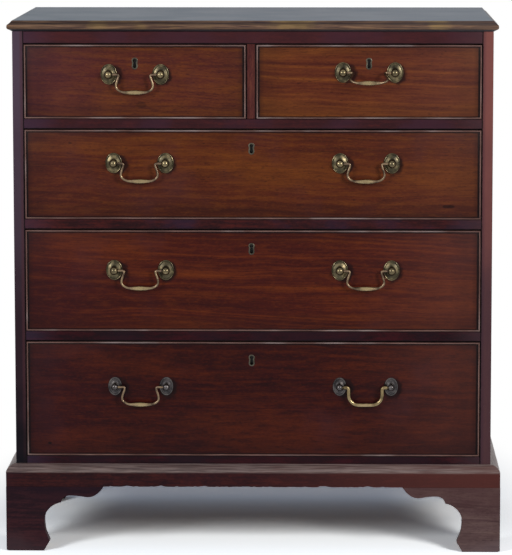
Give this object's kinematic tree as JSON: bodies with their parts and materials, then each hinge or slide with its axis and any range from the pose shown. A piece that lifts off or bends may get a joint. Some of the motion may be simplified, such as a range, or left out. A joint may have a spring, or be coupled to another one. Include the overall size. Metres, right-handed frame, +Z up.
{
  "type": "chest of drawers",
  "caption": "Straight-fronted mahogany chest of short and long cockbeaded drawers on shaped bracket feet, with a moulded top, brass swan-neck bail handles and drawer locks.",
  "frame": {"origin": "middle of the footprint of the whole chest, handles included, on the floor", "axes": "+Z up, -Y out of the drawer fronts, +X to the right of someone who faces the drawers"},
  "size_m": [0.952, 0.5358, 1.0225],
  "materials": {
    "top_mahogany": "old waxed polish with a greyish sheen",
    "carcass_mahogany": "dark old polish",
    "front_mahogany": "French polish over figured mahogany",
    "lower_front_mahogany": "darker French polish",
    "foot_mahogany": "worn dark polish",
    "drawer_oak": "bare planed oak",
    "back_pine": "bare aged pine",
    "aged_brass": "cast, aged to olive brown",
    "dark_brass": "cast, tarnished to grey",
    "bright_brass": "cast, still yellow",
    "lock_brass": "filed sheet brass",
    "bolt_steel": "filed steel"
  },
  "bodies": {
    "carcass": {"top_board": "top_mahogany", "left_side": "carcass_mahogany", "right_side": "carcass_mahogany", "back_panel": "back_pine", "top_rail": "carcass_mahogany", "upper_divider": "carcass_mahogany", "middle_divider": "carcass_mahogany", "lower_divider": "carcass_mahogany", "centre_partition": "carcass_mahogany", "bottom_board": "back_pine", "bottom_rail": "carcass_mahogany", "base_moulding": "carcass_mahogany", "foot_front_left": "foot_mahogany", "foot_front_right": "foot_mahogany", "foot_back_left": "foot_mahogany", "foot_back_right": "foot_mahogany"},
    "lower_drawer": {"lower_drawer_front": "lower_front_mahogany", "lower_drawer_box": "drawer_oak", "lower_drawer_lock": "lock_brass", "lower_drawer_left_handle_left_post": "dark_brass", "lower_drawer_left_handle_right_post": "dark_brass", "lower_drawer_right_handle_left_post": "dark_brass", "lower_drawer_right_handle_right_post": "dark_brass"},
    "lower_drawer_left_bail": {"lower_drawer_left_handle_bail": "aged_brass"},
    "lower_drawer_right_bail": {"lower_drawer_right_handle_bail": "bright_brass"},
    "lower_bolt": {"lower_drawer_bolt": "bolt_steel"},
    "middle_drawer": {"middle_drawer_front": "front_mahogany", "middle_drawer_box": "drawer_oak", "middle_drawer_lock": "lock_brass", "middle_drawer_left_handle_left_post": "aged_brass", "middle_drawer_left_handle_right_post": "aged_brass", "middle_drawer_right_handle_left_post": "aged_brass", "middle_drawer_right_handle_right_post": "aged_brass"},
    "middle_drawer_left_bail": {"middle_drawer_left_handle_bail": "aged_brass"},
    "middle_drawer_right_bail": {"middle_drawer_right_handle_bail": "aged_brass"},
    "middle_bolt": {"middle_drawer_bolt": "bolt_steel"},
    "upper_drawer": {"upper_drawer_front": "front_mahogany", "upper_drawer_box": "drawer_oak", "upper_drawer_lock": "lock_brass", "upper_drawer_left_handle_left_post": "aged_brass", "upper_drawer_left_handle_right_post": "aged_brass", "upper_drawer_right_handle_left_post": "aged_brass", "upper_drawer_right_handle_right_post": "aged_brass"},
    "upper_drawer_left_bail": {"upper_drawer_left_handle_bail": "aged_brass"},
    "upper_drawer_right_bail": {"upper_drawer_right_handle_bail": "aged_brass"},
    "upper_bolt": {"upper_drawer_bolt": "bolt_steel"},
    "left_short_drawer": {"left_short_drawer_front": "front_mahogany", "left_short_drawer_box": "drawer_oak", "left_short_drawer_lock": "lock_brass", "left_short_drawer_handle_left_post": "aged_brass", "left_short_drawer_handle_right_post": "aged_brass"},
    "left_short_drawer_bail": {"left_short_drawer_handle_bail": "aged_brass"},
    "left_short_bolt": {"left_short_drawer_bolt": "bolt_steel"},
    "right_short_drawer": {"right_short_drawer_front": "front_mahogany", "right_short_drawer_box": "drawer_oak", "right_short_drawer_lock": "lock_brass", "right_short_drawer_handle_left_post": "aged_brass", "right_short_drawer_handle_right_post": "aged_brass"},
    "right_short_drawer_bail": {"right_short_drawer_handle_bail": "aged_brass"},
    "right_short_bolt": {"right_short_drawer_bolt": "bolt_steel"}
  },
  "joints": [
    {"name": "lower_drawer_slide", "type": "slide", "parent": "carcass", "child": "lower_drawer", "axis": [0, -1, 0], "range_m": [0, 0.36]},
    {"name": "middle_drawer_slide", "type": "slide", "parent": "carcass", "child": "middle_drawer", "axis": [0, -1, 0], "range_m": [0, 0.36]},
    {"name": "upper_drawer_slide", "type": "slide", "parent": "carcass", "child": "upper_drawer", "axis": [0, -1, 0], "range_m": [0, 0.36]},
    {"name": "left_short_drawer_slide", "type": "slide", "parent": "carcass", "child": "left_short_drawer", "axis": [0, -1, 0], "range_m": [0, 0.36]},
    {"name": "right_short_drawer_slide", "type": "slide", "parent": "carcass", "child": "right_short_drawer", "axis": [0, -1, 0], "range_m": [0, 0.36]},
    {"name": "lower_left_bail_hinge", "type": "hinge", "parent": "lower_drawer", "child": "lower_drawer_left_bail", "pos_m": [-0.216, -0.23409, 0.3195], "axis": [-1, 0, 0], "range_deg": [-10, 190]},
    {"name": "lower_right_bail_hinge", "type": "hinge", "parent": "lower_drawer", "child": "lower_drawer_right_bail", "pos_m": [0.216, -0.23409, 0.3195], "axis": [-1, 0, 0], "range_deg": [-10, 190]},
    {"name": "middle_left_bail_hinge", "type": "hinge", "parent": "middle_drawer", "child": "middle_drawer_left_bail", "pos_m": [-0.216, -0.23409, 0.545], "axis": [-1, 0, 0], "range_deg": [-10, 190]},
    {"name": "middle_right_bail_hinge", "type": "hinge", "parent": "middle_drawer", "child": "middle_drawer_right_bail", "pos_m": [0.216, -0.23409, 0.545], "axis": [-1, 0, 0], "range_deg": [-10, 190]},
    {"name": "upper_left_bail_hinge", "type": "hinge", "parent": "upper_drawer", "child": "upper_drawer_left_bail", "pos_m": [-0.216, -0.23409, 0.751], "axis": [-1, 0, 0], "range_deg": [-10, 190]},
    {"name": "upper_right_bail_hinge", "type": "hinge", "parent": "upper_drawer", "child": "upper_drawer_right_bail", "pos_m": [0.216, -0.23409, 0.751], "axis": [-1, 0, 0], "range_deg": [-10, 190]},
    {"name": "left_short_bail_hinge", "type": "hinge", "parent": "left_short_drawer", "child": "left_short_drawer_bail", "pos_m": [-0.22425, -0.23409, 0.9205], "axis": [-1, 0, 0], "range_deg": [-10, 190]},
    {"name": "right_short_bail_hinge", "type": "hinge", "parent": "right_short_drawer", "child": "right_short_drawer_bail", "pos_m": [0.22125, -0.23409, 0.9245], "axis": [-1, 0, 0], "range_deg": [-69, 131]},
    {"name": "lower_bolt_slide", "type": "slide", "parent": "lower_drawer", "child": "lower_bolt", "axis": [0, 0, 1], "range_m": [0, 0.008]},
    {"name": "middle_bolt_slide", "type": "slide", "parent": "middle_drawer", "child": "middle_bolt", "axis": [0, 0, 1], "range_m": [0, 0.008]},
    {"name": "upper_bolt_slide", "type": "slide", "parent": "upper_drawer", "child": "upper_bolt", "axis": [0, 0, 1], "range_m": [0, 0.008]},
    {"name": "left_short_bolt_slide", "type": "slide", "parent": "left_short_drawer", "child": "left_short_bolt", "axis": [0, 0, 1], "range_m": [0, 0.008]},
    {"name": "right_short_bolt_slide", "type": "slide", "parent": "right_short_drawer", "child": "right_short_bolt", "axis": [0, 0, 1], "range_m": [0, 0.008]}
  ]
}
